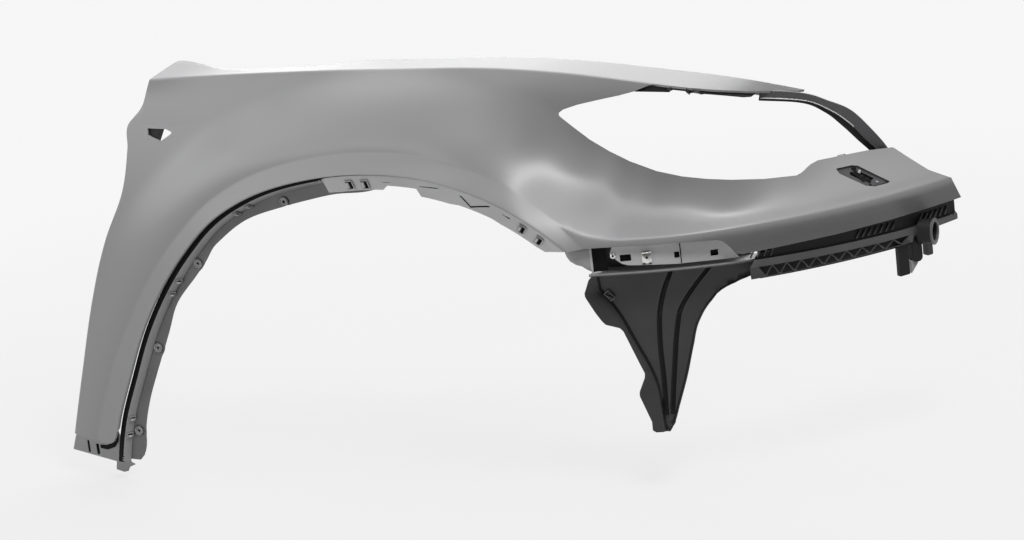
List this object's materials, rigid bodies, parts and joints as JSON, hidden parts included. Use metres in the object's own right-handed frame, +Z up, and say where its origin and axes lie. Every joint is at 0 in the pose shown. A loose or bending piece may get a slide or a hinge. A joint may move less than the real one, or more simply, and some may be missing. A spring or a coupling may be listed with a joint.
{
  "type": "front fender",
  "caption": "Right-hand front fender of a large car: moulded grey skin with flared wheel arch, headlight opening, liner rims and black bumper and headlight brackets.",
  "frame": {"origin": "a point on the flat top face of the bonnet flange, between its second and third slots", "axes": "+X towards the front of the car, +Y towards the middle of the car, +Z up"},
  "size_m": [1.3087, 0.3832, 0.6098],
  "materials": {
    "primer_grey": "satin grey primer on moulded plastic",
    "rim_grey": "satin grey moulded plastic",
    "carrier_grey": "satin light grey moulded plastic",
    "clip_steel": "bright zinc plated sheet steel",
    "bracket_black": "fine grained black plastic",
    "shelf_grey": "satin dark grey plastic",
    "nut_steel": "dull plated sheet steel"
  },
  "bodies": {
    "root": {"arch_rim_front": "rim_grey", "arch_rim_rear": "rim_grey", "bumper_carrier": "carrier_grey", "bumper_shelf": "shelf_grey", "carrier_cap": "bracket_black", "carrier_screw": "clip_steel", "edge_tab": "shelf_grey", "fender_skin": "primer_grey", "flange_nut_1": "nut_steel", "flange_nut_2": "nut_steel", "flange_nut_3": "nut_steel", "flange_nut_4": "nut_steel", "flange_nut_5": "nut_steel", "guide_rail": "bracket_black", "indicator_socket": "bracket_black", "lamp_strap": "bracket_black", "lamp_strap_lining": "bracket_black", "lamp_upper_strip": "bracket_black", "leg_pad": "shelf_grey", "liner_boss_1": "rim_grey", "liner_boss_2": "rim_grey", "liner_boss_3": "rim_grey", "liner_boss_4": "rim_grey", "liner_clip_front_1": "rim_grey", "liner_clip_front_2": "rim_grey", "liner_clip_front_3": "rim_grey", "liner_clip_front_4": "rim_grey", "liner_clip_rear_1": "rim_grey", "liner_clip_rear_2": "rim_grey", "liner_clip_rear_3": "rim_grey", "liner_clip_rear_4": "rim_grey", "liner_clip_rear_5": "rim_grey", "liner_clip_rear_6": "rim_grey", "liner_flange": "rim_grey", "rail_backing": "bracket_black", "rail_leg": "bracket_black", "rail_stop": "bracket_black", "rail_stud": "bracket_black", "sill_bracket": "rim_grey", "spring_clip": "clip_steel", "washer_bezel": "bracket_black", "washer_cup": "bracket_black", "washer_nozzle": "bracket_black", "wheelhouse_bracket": "bracket_black"}
  },
  "joints": []
}
